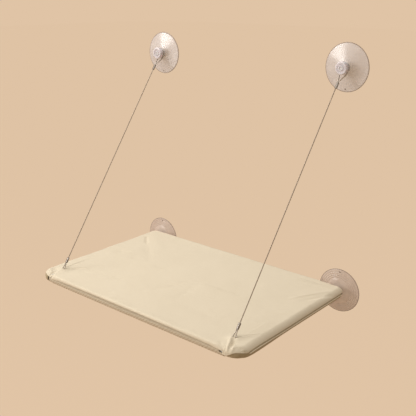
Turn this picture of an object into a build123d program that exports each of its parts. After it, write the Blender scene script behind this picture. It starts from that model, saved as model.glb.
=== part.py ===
from build123d import *
import os
from math import acos, asin, atan2, cos, pi, radians, sin

# Window mounted cat perch: a fabric covered tube frame, hinged on two lower suction cups
# and hung from two upper suction cups by a pair of thin steel cables.
# Millimetres. +X runs right along the window, +Y points into the glass, +Z is up.
# The origin lies on the glass, midway between the centres of the two lower suction cups.

# Layout on the glass: the insets are taken from the centre lines of the frame's side tubes
cup_row_height = 448.5
upper_cup_inset = 22.1
lower_cup_inset = 8.2

# Suction cup, soft clear vinyl
cup_diameter = 92.0
cup_lip_thickness = 1.3
cup_lip_width = 2.2
cup_lip_rise = 0.7
cup_dome_height = 7.9
cup_hub_diameter = 22.0
cup_hub_height = 9.0
cup_cavity_diameter = 70.0
cup_cavity_depth = 2.6
cup_pip_diameter = 3.2
cup_pip_height = 0.7
cup_pip_inset = 5.6
anchor_head_diameter = 15.0
anchor_head_thickness = 2.0
anchor_head_floor = 4.2

# Upper cup: stud, grooved spool for the cable eye, thumb nut with its insert
stud_diameter = 6.0
stud_clearance = 0.05
spool_core_diameter = 16.0
spool_flange_diameter = 21.0
spool_flange_thickness = 1.0
spool_length = 6.7
knob_diameter = 25.0
knob_thickness = 9.0
knob_running_gap = 0.2
knob_edge_round = 1.6
knob_face_ring_diameter = 17.0
knob_face_depth = 0.9
knob_boss_diameter = 9.6
knob_flute_count = 20
knob_flute_diameter = 2.4
knob_flute_depth = 0.5
insert_across_flats = 10.0
insert_thickness = 5.0
stud_tip_setback = 0.8

# Lower cup: bracket with a flat eye, and the hinge pin through it
bracket_shank_diameter = 8.0
bracket_flange_diameter = 18.0
bracket_flange_thickness = 1.7
hinge_standoff = 20.0
hinge_rise = 4.5
tongue_thickness = 6.0
tongue_radius = 6.5
tongue_slot_clearance = 0.35
hinge_pin_diameter = 4.0
hinge_pin_length = 26.0
hinge_pin_clearance = 0.05
lift_angle = 38.0

# Frame of four tubes with plugged corner pieces
frame_width = 516.0
frame_depth = 327.0
tube_diameter = 18.0
tube_wall = 1.2
front_bend_radius = 20.0
spigot_length = 28.0
spigot_wall = 2.1
spigot_clearance = 0.05
rear_arm_length = 22.0
rear_knuckle_length = 30.0

# Snap buttons and their leaf springs, one inside each end of the front and rear tubes
button_diameter = 6.0
button_hole_clearance = 0.15
button_setback = 16.0
button_flange_diameter = 7.8
button_flange_thickness = 1.0
button_flange_seat = 3.9
button_stand_out = 2.2
button_tip_round = 0.8
spring_width = 5.0
spring_thickness = 0.5
spring_length = 18.0
spring_floor_gap = 0.6
spring_tip_gap = 0.03

# Welded cable ring on the inner side of the front tube
ring_radius = 5.5
ring_rod_diameter = 3.5
ring_offset = 12.95
ring_lift = 1.1
ring_inset = 26.7

# Steel cables with a crimped eye at each end
cable_diameter = 2.0
cable_seat_clearance = 0.05
eye_strand_gap = 0.1
lower_eye_radius = 4.8
lower_eye_length = 27.5
upper_eye_length = 31.5
upper_eye_rim_clearance = 0.1
upper_eye_bend_radius = 8.0
eye_neck_length = 3.5
eye_neck_radius = 6.0
ferrule_length = 12.0
ferrule_width = 5.6
ferrule_depth = 3.4
ferrule_end_round = 0.6

# Fabric cover: a top panel rolled over the frame, and four flaps closing the roll below
cover_clearance = 0.3
cover_thickness = 2.7
cover_seam_drop = 5.0
front_hem_rise = 6.5
front_flap_inset = 26.0
flap_thickness = 2.4
flap_reach = 38.0
flap_corner_gap = 1.5
closure_tape_thickness = 0.5
closure_tape_clearance = 0.06
closure_tape_low_angle = 46.0
closure_tape_high_angle = 76.0
closure_lap_root_angle = 28.0
closure_lap_thickness = 0.9
cable_slit_length = 14.6
cable_slit_width = 4.2
hinge_notch_clearance = 0.7
hub_notch_clearance = 1.6
hinge_notch_low_angle = 48.0
hinge_notch_high_angle = 67.0
edge_round_share = 0.995
cut_overrun = 5.0

# Derived places
cup_radius = cup_diameter / 2
hub_radius = cup_hub_diameter / 2
tube_radius = tube_diameter / 2
tube_bore = tube_radius - tube_wall
spigot_radius = tube_bore - spigot_clearance
spigot_bore = spigot_radius - spigot_wall
stud_radius = stud_diameter / 2
knob_radius = knob_diameter / 2
cable_radius = cable_diameter / 2
frame_side = frame_width / 2
frame_rear = -hinge_standoff
frame_front = frame_rear - frame_depth
frame_level = hinge_rise
upper_cup_x = frame_side - upper_cup_inset
lower_cup_x = frame_side - lower_cup_inset
spool_mid = cup_hub_height + spool_length / 2
knob_base = cup_hub_height + spool_length + knob_running_gap
knob_face = knob_base + knob_thickness
cover_inner_radius = tube_radius + cover_clearance
cover_outer_radius = cover_inner_radius + cover_thickness

parts = {}


def turned(points):
    """Solid of revolution about the local Z axis from (radius, height) points."""
    outline = Polyline([(radius, 0, height) for radius, height in points], close=True)
    return revolve(make_face(outline), Axis.Z)


def on_upper_cup(shape):
    """Stand a shape on the right upper cup: its local Z points out of the glass."""
    return Pos(upper_cup_x, 0, cup_row_height) * Rot(X=90) * shape


def on_lower_cup(shape):
    """Stand a shape on the right lower cup: its local Z points out of the glass."""
    return Pos(lower_cup_x, 0, 0) * Rot(X=90) * shape


def rod(start, end, radius):
    """Round bar between two points."""
    run = Vector(*end) - Vector(*start)
    return extrude(Plane(origin=start, z_dir=run) * Circle(radius), run.length)


def add_pair(name, shape):
    """Keep a right-hand piece and its mirror image on the left."""
    parts[name + "_right"] = shape
    parts[name + "_left"] = mirror(shape, about=Plane.YZ)


# Suction cups: a thin cone on a flat sealing lip, with a hub that holds a moulded-in head

def cup_blank():
    """The cup without the pocket of its moulded-in head."""
    body = turned([
        (0, cup_cavity_depth),
        (cup_cavity_diameter / 2, 0),
        (cup_radius, 0),
        (cup_radius, cup_lip_thickness),
        (cup_radius - cup_lip_width, cup_lip_thickness + cup_lip_rise),
        (hub_radius, cup_dome_height),
        (hub_radius, cup_hub_height),
        (0, cup_hub_height),
    ])
    pip_place = cup_radius - cup_pip_inset
    slope = (cup_dome_height - cup_lip_thickness - cup_lip_rise) / (cup_radius - cup_lip_width - hub_radius)
    pip_level = cup_dome_height - slope * (pip_place - hub_radius)
    pip = Cylinder(cup_pip_diameter / 2, 2 * cup_pip_height)
    return body + Pos(0, -pip_place, pip_level) * pip


def stud():
    """Threaded stud with the round head that the upper cup is moulded around."""
    head_top = anchor_head_floor + anchor_head_thickness
    tip = knob_face - stud_tip_setback
    return turned([
        (0, anchor_head_floor),
        (anchor_head_diameter / 2, anchor_head_floor),
        (anchor_head_diameter / 2, head_top),
        (stud_radius, head_top),
        (stud_radius, tip),
        (0, tip),
    ])


def eye_bracket():
    """Head, shank and flange of the lower bracket, with a flat eye that carries the hinge pin."""
    head_top = anchor_head_floor + anchor_head_thickness
    flange_top = cup_hub_height + bracket_flange_thickness
    body = turned([
        (0, anchor_head_floor),
        (anchor_head_diameter / 2, anchor_head_floor),
        (anchor_head_diameter / 2, head_top),
        (bracket_shank_diameter / 2, head_top),
        (bracket_shank_diameter / 2, cup_hub_height),
        (bracket_flange_diameter / 2, cup_hub_height),
        (bracket_flange_diameter / 2, flange_top),
        (0, flange_top),
    ])
    # The tongue is drawn in the plane across the pin: first value up, second value out
    foot_low = hinge_rise - tongue_radius
    foot_high = hinge_rise + tongue_radius
    foot_high = min(foot_high, bracket_flange_diameter / 2 - bracket_flange_thickness)
    blade = Plane.YZ * (
        Pos(hinge_rise, hinge_standoff) * Circle(tongue_radius)
        + make_face(Polyline([
            (foot_low, cup_hub_height + bracket_flange_thickness / 2),
            (foot_low, hinge_standoff),
            (hinge_rise + tongue_radius, hinge_standoff),
            (foot_high, cup_hub_height + bracket_flange_thickness / 2),
        ], close=True))
    )
    body += extrude(blade, tongue_thickness / 2, both=True)
    pin_hole = Pos(0, hinge_rise, hinge_standoff) * Rot(Y=90) * Cylinder(
        hinge_pin_diameter / 2 + hinge_pin_clearance, tongue_thickness + 2 * cut_overrun)
    return body - pin_hole


add_pair("suction_cup_upper", on_upper_cup(cup_blank() - stud()))
add_pair("stud_upper", on_upper_cup(stud()))
add_pair("suction_cup_lower", on_lower_cup(Rot(Z=180) * cup_blank() - eye_bracket()))
add_pair("eye_bracket_lower", on_lower_cup(eye_bracket()))


# Spool that holds the cable eye on the upper stud

def spool():
    low = cup_hub_height
    high = cup_hub_height + spool_length
    bore = stud_radius + stud_clearance
    return turned([
        (bore, low),
        (spool_flange_diameter / 2, low),
        (spool_flange_diameter / 2, low + spool_flange_thickness),
        (spool_core_diameter / 2, low + spool_flange_thickness),
        (spool_core_diameter / 2, high - spool_flange_thickness),
        (spool_flange_diameter / 2, high - spool_flange_thickness),
        (spool_flange_diameter / 2, high),
        (bore, high),
    ])


add_pair("cable_spool", on_upper_cup(spool()))


# Thumb nut: a fluted disc with a ringed face, on a hexagonal brass insert

def nut_insert(bore):
    block = extrude(RegularPolygon(insert_across_flats / 2, 6, major_radius=False), insert_thickness)
    return Pos(0, 0, knob_base) * (block - Cylinder(bore, 3 * insert_thickness))


def knob():
    bore = stud_radius + stud_clearance
    floor = knob_face - knob_face_depth
    body = turned([
        (bore, knob_base),
        (knob_radius - knob_edge_round, knob_base),
        (knob_radius, knob_base + knob_edge_round),
        (knob_radius, knob_face - knob_edge_round),
        (knob_radius - knob_edge_round, knob_face),
        (knob_face_ring_diameter / 2, knob_face),
        (knob_face_ring_diameter / 2 - knob_face_depth, floor),
        (knob_boss_diameter / 2 + knob_face_depth, floor),
        (knob_boss_diameter / 2, knob_face),
        (bore, knob_face),
    ])
    flute_place = knob_radius + knob_flute_diameter / 2 - knob_flute_depth
    flute = Cylinder(knob_flute_diameter / 2, 3 * knob_thickness)
    flutes = PolarLocations(flute_place, knob_flute_count) * flute
    body = body - [Pos(0, 0, knob_base) * one for one in flutes]
    pocket = extrude(RegularPolygon(insert_across_flats / 2, 6, major_radius=False), insert_thickness)
    return body - Pos(0, 0, knob_base) * pocket


add_pair("knob", on_upper_cup(knob()))
add_pair("knob_insert", on_upper_cup(nut_insert(stud_radius + stud_clearance)))


# Hinge pins: fixed in the rear corner pieces, they turn in the brackets' eyes

hinge_point = (lower_cup_x, frame_rear, frame_level)
pin_start = (lower_cup_x - hinge_pin_length / 2, frame_rear, frame_level)
pin_end = (min(lower_cup_x + hinge_pin_length / 2, frame_side + tube_radius / 2), frame_rear, frame_level)
hinge_pin = rod(pin_start, pin_end, hinge_pin_diameter / 2)
add_pair("hinge_pin", hinge_pin)


# Frame tubes

def tube(start, end):
    return rod(start, end, tube_radius) - rod(start, end, tube_bore)


front_tube_end = frame_side - front_bend_radius
rear_tube_end = frame_side - rear_knuckle_length
side_tube_front = frame_front + front_bend_radius
side_tube_rear = frame_rear - rear_arm_length
front_button_x = front_tube_end - button_setback
rear_button_x = rear_tube_end - button_setback


def button_bore(x, y, side, radius):
    """Cutter for a snap button: side is +1 where the button points to the glass, else -1."""
    return rod((x, y, frame_level), (x, y + side * (tube_radius + cut_overrun), frame_level), radius)


def both_sides(shape):
    return [shape, mirror(shape, about=Plane.YZ)]


hole_radius = button_diameter / 2 + button_hole_clearance
front_tube = tube((-front_tube_end, frame_front, frame_level), (front_tube_end, frame_front, frame_level))
front_tube = front_tube - both_sides(button_bore(front_button_x, frame_front, 1, hole_radius))
rear_tube = tube((-rear_tube_end, frame_rear, frame_level), (rear_tube_end, frame_rear, frame_level))
rear_tube = rear_tube - both_sides(button_bore(rear_button_x, frame_rear, -1, hole_radius))
parts["frame_tube_front"] = front_tube
parts["frame_tube_rear"] = rear_tube
add_pair("frame_tube_side", tube((frame_side, side_tube_front, frame_level),
                                 (frame_side, side_tube_rear, frame_level)))


# Front corner pieces: a bent tube with a plug at each end

def front_corner():
    centre = (frame_side - front_bend_radius, frame_front + front_bend_radius, frame_level)
    start = Plane(origin=(centre[0], frame_front, frame_level), z_dir=(1, 0, 0))
    upright = Axis(centre, (0, 0, 1))
    bend = revolve(start * Circle(tube_radius), upright, 90)
    hollow = revolve(start * Circle(spigot_bore), upright, 90)
    plug_x_end = (front_tube_end - spigot_length, frame_front, frame_level)
    plug_x_start = (front_tube_end, frame_front, frame_level)
    plug_y_start = (frame_side, side_tube_front, frame_level)
    plug_y_end = (frame_side, side_tube_front + spigot_length, frame_level)
    body = bend + rod(plug_x_start, plug_x_end, spigot_radius) + rod(plug_y_start, plug_y_end, spigot_radius)
    body = body - hollow - rod(plug_x_start, plug_x_end, spigot_bore) - rod(plug_y_start, plug_y_end, spigot_bore)
    return body - button_bore(front_button_x, frame_front, 1, hole_radius)


add_pair("corner_front", front_corner())


# Rear corner pieces: the hinge knuckle, slotted for the bracket's eye over the whole lift

def rear_corner():
    corner = (frame_side, frame_rear, frame_level)
    knuckle_start = (rear_tube_end, frame_rear, frame_level)
    arm_end = (frame_side, side_tube_rear, frame_level)
    plug_x_end = (rear_tube_end - spigot_length, frame_rear, frame_level)
    plug_y_end = (frame_side, side_tube_rear - spigot_length, frame_level)
    body = rod(knuckle_start, corner, tube_radius) + Pos(*corner) * Sphere(tube_radius)
    body += rod(corner, arm_end, tube_radius)
    body += rod(knuckle_start, plug_x_end, spigot_radius)
    body += rod(arm_end, plug_y_end, spigot_radius)
    body -= rod((lower_cup_x - hinge_pin_length / 2, frame_rear, frame_level), plug_x_end, spigot_bore)
    body -= rod((frame_side, frame_rear - tube_radius - spigot_wall, frame_level), plug_y_end, spigot_bore)
    # Slot for the eye: first value towards the glass, second value up, about the hinge axis
    room = tongue_radius + tongue_slot_clearance
    reach = tube_radius + cut_overrun
    turn = radians(lift_angle)
    top_near = (-room * sin(turn), room * cos(turn))
    top_far = (reach * cos(turn) - room * sin(turn), reach * sin(turn) + room * cos(turn))
    slot = Plane(origin=hinge_point, x_dir=(0, 1, 0), z_dir=(1, 0, 0)) * (
        Circle(room)
        + make_face(Polyline([
            (0, -room),
            (reach, -room),
            (reach, top_far[1]),
            top_far,
            top_near,
        ], close=True))
    )
    body -= extrude(slot, tongue_thickness / 2 + tongue_slot_clearance, both=True)
    body -= hinge_pin
    return body - button_bore(rear_button_x, frame_rear, -1, hole_radius)


add_pair("corner_rear", rear_corner())


# Snap buttons, with their flanges seated inside the plugs, and bent leaf springs behind them

def snap_button():
    """Button along local Z, whose zero is the tube's axis."""
    base = button_flange_seat - button_flange_thickness
    tip = tube_radius + button_stand_out
    return turned([
        (0, base),
        (button_flange_diameter / 2, base),
        (button_flange_diameter / 2, button_flange_seat),
        (button_diameter / 2, button_flange_seat),
        (button_diameter / 2, tip - button_tip_round),
        (button_diameter / 2 - button_tip_round, tip),
        (0, tip),
    ])


def leaf_spring():
    """Bent strip in the local XZ plane: X runs towards the tube's middle, Z towards the button."""
    floor = -(spigot_bore - spring_floor_gap)
    near = button_flange_diameter / 2
    far = near - spring_length
    top = button_flange_seat - button_flange_thickness - spring_tip_gap
    strip = make_face(Polyline([
        (far, 0, floor),
        (near, 0, floor),
        (near, 0, floor + spring_thickness),
        (far + 3 * spring_thickness, 0, floor + spring_thickness),
        (near, 0, top - spring_thickness),
        (near, 0, top),
        (far, 0, floor + 1.5 * spring_thickness),
    ], close=True))
    return extrude(strip, spring_width / 2, both=True)


def inside_front_tube(shape):
    """Local Z points to the glass, local X to the right."""
    return Pos(front_button_x, frame_front, frame_level) * Rot(X=-90) * shape


def inside_rear_tube(shape):
    """Local Z points to the room, local X to the right."""
    return Pos(rear_button_x, frame_rear, frame_level) * Rot(X=90) * shape


add_pair("snap_button_front", inside_front_tube(snap_button()))
add_pair("button_spring_front", inside_front_tube(leaf_spring()))
add_pair("snap_button_rear", inside_rear_tube(snap_button()))
add_pair("button_spring_rear", inside_rear_tube(leaf_spring()))


# Welded rings on the front tube, each in the plane across the tube

ring_x = frame_side - ring_inset
ring_centre = (ring_x, frame_front + ring_offset, frame_level + ring_lift)
rod_radius = ring_rod_diameter / 2
ring = Pos(*ring_centre) * Rot(Y=90) * Torus(ring_radius, rod_radius)
ring = ring - rod((ring_x - ring_radius, frame_front, frame_level),
                  (ring_x + ring_radius, frame_front, frame_level), tube_radius)
add_pair("cable_ring", ring)


# Cables. Each runs from the spool on the upper stud to the ring on the front tube

top_point = Vector(upper_cup_x, -spool_mid, cup_row_height)
pull = (top_point - Vector(*ring_centre)).normalized()
in_ring_plane = Vector(0, pull.Y, pull.Z).normalized()
hook_point = Vector(*ring_centre) + in_ring_plane * ring_radius
pull = (top_point - hook_point).normalized()
across = (Vector(1, 0, 0) - pull * pull.X).normalized()
strand_offset = cable_radius + eye_strand_gap / 2
upper_ferrule_top = top_point - pull * upper_eye_length
upper_ferrule_bottom = upper_ferrule_top - pull * ferrule_length
eye_bottom = hook_point - pull * (rod_radius + cable_radius + cable_seat_clearance)
lower_ferrule_bottom = eye_bottom + pull * lower_eye_length
lower_ferrule_top = lower_ferrule_bottom + pull * ferrule_length


def swept(edges):
    """Round cable along a row of edges that join smoothly."""
    path = Wire(edges)
    section = Plane(origin=path @ 0, z_dir=path % 0) * Circle(cable_radius)
    solid = sweep(section, path=path)
    expected = pi * cable_radius ** 2 * path.length
    print("cable stretch", round(path.length, 2), "volume ratio", round(solid.volume / expected, 4))
    return solid


def cable_run():
    return rod(tuple(lower_ferrule_top), tuple(upper_ferrule_bottom), cable_radius)


def lower_eye():
    """Open crimped eye under the ring's rod, in the plane of the cable and the X axis."""
    centre = eye_bottom + pull * lower_eye_radius
    entry = lower_ferrule_bottom + across * strand_offset
    neck = entry - pull * eye_neck_length
    away = neck - centre
    lean = atan2(away.dot(pull), away.dot(across)) - acos(lower_eye_radius / away.length)
    touch = centre + (across * cos(lean) + pull * sin(lean)) * lower_eye_radius

    def flip(point):
        return point - across * (2 * (point - centre).dot(across))

    print("lower eye radii", eye_neck_radius, lower_eye_radius)
    right = FilletPolyline(entry, neck, touch, radius=eye_neck_radius)
    left = FilletPolyline(flip(touch), flip(neck), flip(entry), radius=eye_neck_radius)
    bottom = ThreePointArc(touch, eye_bottom, flip(touch))
    return swept(right.edges() + [bottom.edge()] + left.edges())


def upper_eye():
    """Crimped eye over the spool's core: it leaves the groove beside the knob's rim."""
    core = spool_core_diameter / 2 + cable_radius + cable_seat_clearance
    rim = knob_radius + cable_radius + upper_eye_rim_clearance
    entry = upper_ferrule_top + across * strand_offset
    neck = entry + pull * eye_neck_length
    # Half angle under which the core is seen from the point beside the rim
    tangent_angle = acos(core / rim)
    rim_angle = asin(min(1, (strand_offset + knob_radius / 2) / rim))
    touch_angle = rim_angle + tangent_angle

    def at(angle, radius):
        """Point in the groove's plane: the angle is taken from straight down, to the right."""
        return top_point + Vector(radius * sin(angle), 0, -radius * cos(angle))

    def flip(point):
        return point - across * (2 * (point - top_point).dot(across))

    beside_rim = at(rim_angle, rim)
    touch = at(touch_angle, core)
    other_rim = at(-rim_angle, rim)
    other_touch = at(-touch_angle, core)
    print("upper eye radii", eye_neck_radius, upper_eye_bend_radius, round(core, 2))
    right = FilletPolyline(entry, neck, beside_rim, touch, radius=[eye_neck_radius, upper_eye_bend_radius])
    left = FilletPolyline(other_touch, other_rim, flip(neck), flip(entry),
                          radius=[upper_eye_bend_radius, eye_neck_radius])
    over = ThreePointArc(touch, at(pi, core), other_touch)
    return swept(right.edges() + [over.edge()] + left.edges())


def ferrule(bottom, top):
    """Pressed oval sleeve along the cable."""
    length = (top - bottom).length
    place = Plane(origin=bottom, x_dir=across, z_dir=(top - bottom))
    body = extrude(SlotOverall(ferrule_width, ferrule_depth), length)
    body = fillet(body.faces().sort_by(Axis.Z)[0].edges(), ferrule_end_round)
    body = fillet(body.faces().sort_by(Axis.Z)[-1].edges(), ferrule_end_round)
    return place * body


add_pair("cable_run", cable_run())
add_pair("cable_eye_upper", upper_eye())
add_pair("cable_eye_lower", lower_eye())
add_pair("ferrule_upper", ferrule(upper_ferrule_bottom, upper_ferrule_top))
add_pair("ferrule_lower", ferrule(lower_ferrule_bottom, lower_ferrule_top))
print("cable run length", round((upper_ferrule_bottom - lower_ferrule_top).length, 1))


# Fabric cover

def pillow(radius):
    """Closed block with fully rounded edges, at one distance all round the frame's centre line."""
    width = frame_width + 2 * radius
    depth = frame_depth + 2 * radius
    middle = (frame_front + frame_rear) / 2
    slab = Pos(0, middle, frame_level) * Box(width, depth, 2 * radius)
    uprights = slab.edges().filter_by(Axis.Z)
    front_pair = uprights.sort_by(Axis.Y)[:2]
    slab = fillet(front_pair, front_bend_radius + radius)
    rear_pair = slab.edges().filter_by(Axis.Z).sort_by(Axis.Y)[-2:]
    slab = fillet(rear_pair, radius)
    rounding = radius * edge_round_share
    slab = fillet(slab.faces().sort_by(Axis.Z)[-1].edges(), rounding)
    return fillet(slab.faces().sort_by(Axis.Z)[0].edges(), rounding)


def block(low, high):
    """Box between two corners."""
    size = [high[i] - low[i] for i in range(3)]
    centre = [(high[i] + low[i]) / 2 for i in range(3)]
    return Pos(*centre) * Box(*size)


far = frame_width
outer = pillow(cover_outer_radius)
inner = pillow(cover_inner_radius)
seam_level = frame_level - cover_seam_drop
hem_level = frame_level + front_hem_rise
flap_end_x = frame_side - front_flap_inset


def front_sector(low_radius, high_radius, low_angle, high_angle):
    """Curved strip along the front tube, between two angles up from the room's side."""
    def at(radius, angle):
        return (-radius * cos(radians(angle)), radius * sin(radians(angle)))
    mid_angle = (low_angle + high_angle) / 2
    edges = [
        ThreePointArc(at(low_radius, low_angle), at(low_radius, mid_angle), at(low_radius, high_angle)),
        Line(at(low_radius, high_angle), at(high_radius, high_angle)),
        ThreePointArc(at(high_radius, high_angle), at(high_radius, mid_angle), at(high_radius, low_angle)),
        Line(at(high_radius, low_angle), at(low_radius, low_angle)),
    ]
    start = Plane(origin=(-flap_end_x, frame_front, frame_level), x_dir=(0, 1, 0), z_dir=(1, 0, 0))
    return extrude(start * make_face(edges), 2 * flap_end_x)


def hinge_notches():
    """Openings in the rear corners of the cover for the brackets, over the whole lift."""
    reach = 2 * cover_outer_radius
    low = -radians(hinge_notch_low_angle)
    high = radians(hinge_notch_high_angle)
    place = Plane(origin=hinge_point, x_dir=(0, 1, 0), z_dir=(1, 0, 0))
    wide = place * make_face(Polyline([
        (0, 0),
        (reach * cos(low), reach * sin(low)),
        (2 * reach, 0),
        (reach * cos(high), reach * sin(high)),
    ], close=True))
    narrow = place * make_face(Polyline([
        (0, 0),
        (reach, 0),
        (reach, reach),
        (0, reach),
    ], close=True))
    cut = extrude(wide, hub_radius + hub_notch_clearance, both=True)
    cut += extrude(narrow, tongue_thickness / 2 + hinge_notch_clearance, both=True)
    return both_sides(cut)


def cable_slits():
    """Slits through the panel where the cables' eyes come up."""
    middle = hook_point + pull * cover_outer_radius
    place = Plane(origin=middle, x_dir=across, z_dir=pull)
    slit = extrude(place * SlotOverall(cable_slit_length, cable_slit_width), 2 * cover_outer_radius, both=True)
    above = block((0, frame_front - far, frame_level), (far, frame_rear, frame_level + far))
    return both_sides(slit & above)


lap_start = cover_inner_radius + closure_lap_thickness
tape_middle = lap_start + closure_tape_thickness
lap_end = tape_middle + closure_tape_thickness

cover_top = outer - inner
cover_top -= block((-far, -far, frame_level - far), (far, far, seam_level))
cover_top -= block((-flap_end_x, frame_front - far, frame_level - far), (flap_end_x, frame_front, hem_level))
cover_top -= front_sector(cover_inner_radius - closure_tape_thickness, lap_end,
                          closure_lap_root_angle, closure_tape_high_angle)
cover_top = cover_top - hinge_notches() - cable_slits()
parts["cover_top"] = cover_top

parts["closure_loop_tape"] = front_sector(lap_start + closure_tape_clearance, tape_middle,
                                          closure_tape_low_angle, closure_tape_high_angle)
parts["closure_hook_tape"] = front_sector(tape_middle + closure_tape_clearance, lap_end - closure_tape_clearance,
                                          closure_tape_low_angle, closure_tape_high_angle)


# Flaps: each closes the roll from below along one tube, and ends in a flat hem

flap_outer = pillow(cover_inner_radius + flap_thickness)
flap_shell = flap_outer - inner
side_limit = frame_side - flap_reach
rear_limit = frame_rear - flap_reach
front_limit = frame_front + flap_reach
front_flap = flap_shell & block((-flap_end_x, frame_front - far, frame_level - far),
                                (flap_end_x, front_limit, seam_level))
front_flap += flap_shell & block((-flap_end_x, frame_front - far, seam_level - cut_overrun),
                                 (flap_end_x, frame_front, hem_level))
front_flap += front_sector(cover_inner_radius, lap_start, closure_lap_root_angle, closure_tape_high_angle)
side_flap = flap_shell & block((side_limit, frame_front - far, frame_level - far),
                               (frame_side + far, rear_limit - flap_corner_gap, seam_level))
side_flap -= block((-far, frame_front - far, frame_level - far),
                   (flap_end_x + flap_corner_gap, front_limit + flap_corner_gap, frame_level))
rear_flap = flap_shell & block((-side_limit, rear_limit, frame_level - far),
                               (side_limit, far, seam_level))
rear_flap = rear_flap - hinge_notches()
parts["cover_flap_front"] = front_flap
parts["cover_flap_rear"] = rear_flap
add_pair("cover_flap_side", side_flap)

os.makedirs("parts", exist_ok=True)
for name, shape in parts.items():
    export_step(shape, "parts/" + name + ".step")
print(len(parts), "nodes written")
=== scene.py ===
from math import acos, asin, atan2, cos, exp, hypot, pi, radians, sin

import bmesh
import bpy
from mathutils import Matrix, Vector, noise


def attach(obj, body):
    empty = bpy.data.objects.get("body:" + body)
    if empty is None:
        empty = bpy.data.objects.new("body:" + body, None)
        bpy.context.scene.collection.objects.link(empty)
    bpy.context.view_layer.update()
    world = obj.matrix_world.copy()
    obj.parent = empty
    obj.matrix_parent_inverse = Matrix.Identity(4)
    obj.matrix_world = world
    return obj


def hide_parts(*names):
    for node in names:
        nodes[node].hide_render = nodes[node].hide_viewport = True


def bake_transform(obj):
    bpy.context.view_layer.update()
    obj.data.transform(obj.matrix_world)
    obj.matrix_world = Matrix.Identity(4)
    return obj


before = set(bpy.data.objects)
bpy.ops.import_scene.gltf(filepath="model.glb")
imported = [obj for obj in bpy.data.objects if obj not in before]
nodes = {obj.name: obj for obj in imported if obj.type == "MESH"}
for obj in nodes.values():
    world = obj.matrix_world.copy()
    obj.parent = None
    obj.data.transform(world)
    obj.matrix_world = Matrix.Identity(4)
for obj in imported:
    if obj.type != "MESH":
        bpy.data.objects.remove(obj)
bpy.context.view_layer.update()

# Camera: stands to the right of the perch and a little above it, about a metre and a half away,
# with a lens long enough that the perch fills the square picture.
view_turn = radians(40.3)
view_rise = radians(17.7)
view_roll = radians(0.15)
view_distance = 1.583
view_centre = Vector((-0.1035, 0.0, 0.1026))
picture_pixels = 416
lens_pixels = 681
ahead = Vector((-sin(view_turn) * cos(view_rise), cos(view_turn) * cos(view_rise), -sin(view_rise)))
level_right = Vector((cos(view_turn), sin(view_turn), 0))
picture_right = level_right * cos(view_roll) + level_right.cross(ahead) * sin(view_roll)
picture_up = picture_right.cross(ahead)


def in_scene(name, data):
    """Object for a mesh, a lamp or the camera, linked to the scene."""
    holder = bpy.data.objects.new(name, data)
    bpy.context.scene.collection.objects.link(holder)
    return holder


camera = in_scene("camera", bpy.data.cameras.new("camera"))
camera.data.lens = camera.data.sensor_width * lens_pixels / picture_pixels
camera.data.clip_end = 40
camera.matrix_world = Matrix.Translation(view_centre - ahead * view_distance) @ Matrix(
    (picture_right, picture_up, -ahead)).transposed().to_4x4()
bpy.context.scene.camera = camera
bpy.context.scene.view_settings.view_transform = "Standard"


# Floor: plain matt board in warm beige, a good metre below the perch. The board and the backdrop
# show their own plain colour to the camera and to gloss and glass, and the board keeps a share of
# the soft shadow.
board_colour = (0.745, 0.552, 0.381, 1)
board_glow_colour = (0.765, 0.567, 0.391, 1)
glow_share = 0.93
floor_size = 30
floor_level = -1.15


def shader_material(name):
    """New material with an empty Principled shader: (material, nodes, link function, shader)."""
    material = bpy.data.materials.new(name)
    material.use_nodes = True
    tree = material.node_tree
    shader = tree.nodes["Principled BSDF"]
    return material, tree.nodes, tree.links.new, shader


def fill(node, values):
    """Sets a node's inputs by name."""
    for socket, value in values.items():
        node.inputs[socket].default_value = value


def seen_directly(tree_nodes, link):
    """1 for camera, glossy and transmission rays, else 0."""
    rays = tree_nodes.new("ShaderNodeLightPath")
    seen = rays.outputs["Is Camera Ray"]
    for kind in ("Is Glossy Ray", "Is Transmission Ray"):
        either = tree_nodes.new("ShaderNodeMath")
        either.operation = "MAXIMUM"
        link(seen, either.inputs[0])
        link(rays.outputs[kind], either.inputs[1])
        seen = either.outputs[0]
    return seen


board, board_nodes, board_link, board_shader = shader_material("warm_board")
fill(board_shader, {"Base Color": board_colour, "Roughness": 0.9})
board_glow = board_nodes.new("ShaderNodeEmission")
fill(board_glow, {"Color": board_glow_colour})
board_share = board_nodes.new("ShaderNodeMath")
board_share.operation = "MULTIPLY"
board_share.inputs[1].default_value = glow_share
board_link(seen_directly(board_nodes, board_link), board_share.inputs[0])
board_mix = board_nodes.new("ShaderNodeMixShader")
board_link(board_share.outputs[0], board_mix.inputs[0])
board_link(board_shader.outputs[0], board_mix.inputs[1])
board_link(board_glow.outputs[0], board_mix.inputs[2])
board_link(board_mix.outputs[0], board_nodes["Material Output"].inputs["Surface"])

floor_mesh = bmesh.new()
bmesh.ops.create_grid(floor_mesh, x_segments=4, y_segments=4, size=floor_size)
bmesh.ops.translate(floor_mesh, verts=floor_mesh.verts, vec=(0, 0, floor_level))


def finished_piece(name, mesh, material, smooth=True):
    """Object from a bmesh, at the origin, with its place in its mesh."""
    data = bpy.data.meshes.new(name)
    mesh.to_mesh(data)
    mesh.free()
    for face in data.polygons:
        face.use_smooth = smooth
    data.materials.append(material)
    return in_scene(name, data)


floor = finished_piece("studio_floor", floor_mesh, board, smooth=False)

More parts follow.
